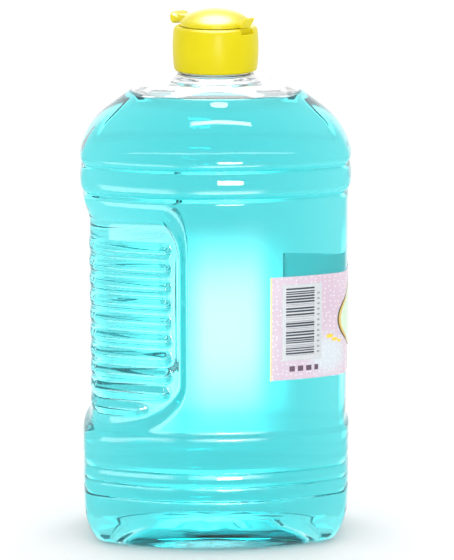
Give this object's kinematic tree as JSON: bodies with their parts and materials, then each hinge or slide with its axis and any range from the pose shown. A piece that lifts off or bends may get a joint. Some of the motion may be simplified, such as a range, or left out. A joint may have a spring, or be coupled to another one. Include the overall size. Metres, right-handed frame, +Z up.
{
  "type": "cologne bottle",
  "caption": "Clear blown plastic bottle of turquoise cologne with ribbed bands, a wrap-round finger recess, a film label round one end and a yellow flip-top closure.",
  "frame": {"origin": "centre of the base, on the plane the bottle stands on", "axes": "+Z up through the neck, +X towards the labelled end, -X towards the finger recess, -Y the broad face seen in the reference view"},
  "size_m": [0.0688, 0.044, 0.1365],
  "materials": {
    "bottle": "clear blown PET, glossy",
    "cologne": "clear turquoise liquid",
    "label": "printed film, pale pink with white dots",
    "closure": "moulded polypropylene, satin gloss",
    "flip_lid": "moulded polypropylene, satin gloss"
  },
  "bodies": {
    "bottle_body": {"bottle": "bottle", "cologne": "cologne", "label": "label"},
    "closure_body": {"closure": "closure"},
    "lid_body": {"flip_lid": "flip_lid"}
  },
  "joints": [
    {"name": "closure_turn", "type": "hinge", "parent": "bottle_body", "child": "closure_body", "pos_m": [0, 0, 0.1257], "axis": [0, 0, 1], "range_deg": [0, 360]},
    {"name": "lid_flip", "type": "hinge", "parent": "closure_body", "child": "lid_body", "pos_m": [0.00749, -0.00651, 0.13237], "axis": [0.6561, 0.7547, 0], "range_deg": [0, 120]}
  ]
}
